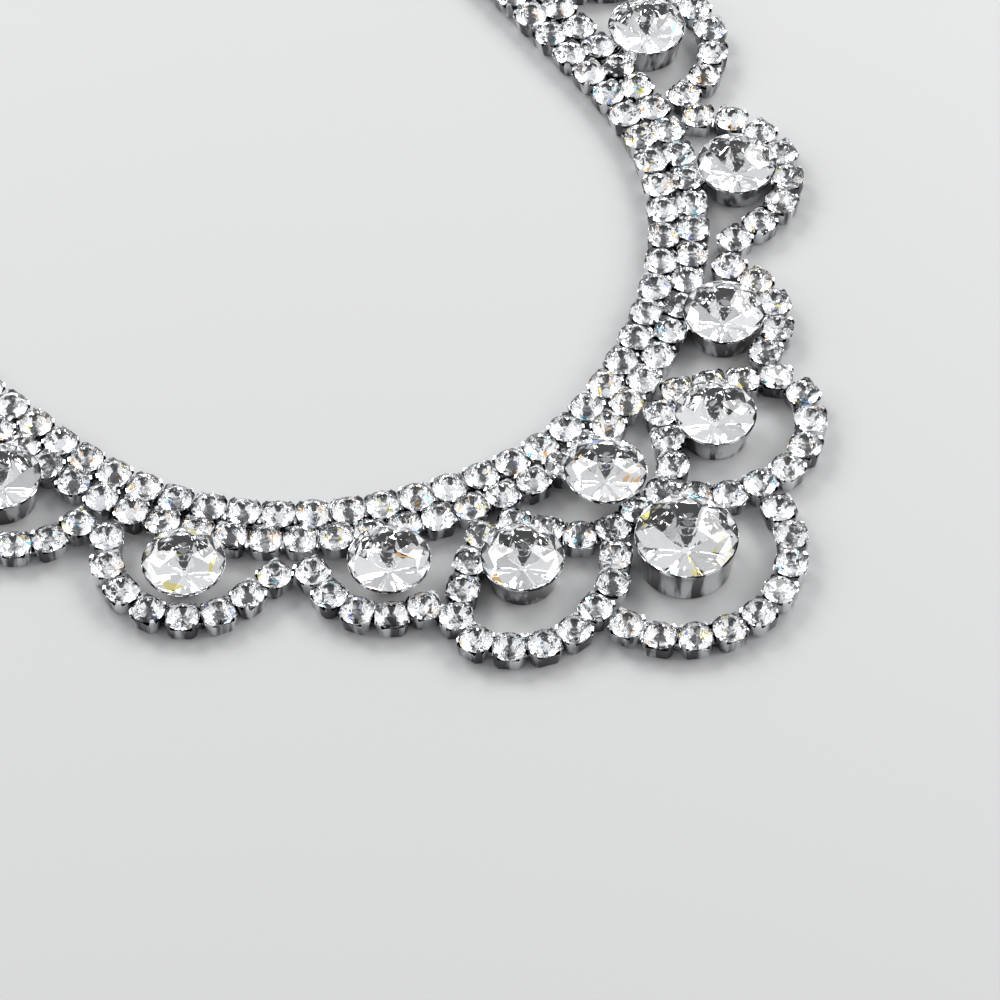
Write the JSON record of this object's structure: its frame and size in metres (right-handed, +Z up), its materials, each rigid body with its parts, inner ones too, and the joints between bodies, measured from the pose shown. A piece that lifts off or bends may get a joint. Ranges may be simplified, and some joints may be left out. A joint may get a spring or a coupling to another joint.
{
  "type": "bib necklace",
  "caption": "Closed bib necklace: rows of small clear stones in cups, scalloped loops round larger stones in bezels, and a plain chain with an oval ring clasp. Lies flat.",
  "frame": {"origin": "middle of the bounding box, on the surface that the necklace lies on", "axes": "+Z up from the surface, +Y from the front of the bib to the clasp, +X to the right as seen from above with the clasp at the top"},
  "size_m": [0.106, 0.1792, 0.0058],
  "materials": {
    "cup_chain": "polished cups with clear stones",
    "bezel": "polished",
    "stone": "clear, cut, with a silvered back",
    "chain": "polished"
  },
  "bodies": {
    "root": {"neck_row_left": "cup_chain", "neck_row_right": "cup_chain", "second_row_left": "cup_chain", "second_row_right": "cup_chain", "upper_loop": "cup_chain", "side_loop_left": "cup_chain", "side_loop_right": "cup_chain", "centre_loop": "cup_chain", "inner_scallop_left": "cup_chain", "inner_scallop_right": "cup_chain", "middle_scallop_left": "cup_chain", "middle_scallop_right": "cup_chain", "outer_scallop_left": "cup_chain", "outer_scallop_right": "cup_chain", "back_chain_left": "chain", "back_chain_right": "chain", "clasp": "chain", "bezel_centre": "bezel", "bezel_upper": "bezel", "bezel_1_left": "bezel", "bezel_1_right": "bezel", "bezel_2_left": "bezel", "bezel_2_right": "bezel", "bezel_3_left": "bezel", "bezel_3_right": "bezel", "bezel_4_left": "bezel", "bezel_4_right": "bezel", "stone_centre": "stone", "stone_upper": "stone", "stone_1_left": "stone", "stone_1_right": "stone", "stone_2_left": "stone", "stone_2_right": "stone", "stone_3_left": "stone", "stone_3_right": "stone", "stone_4_left": "stone", "stone_4_right": "stone"}
  },
  "joints": []
}
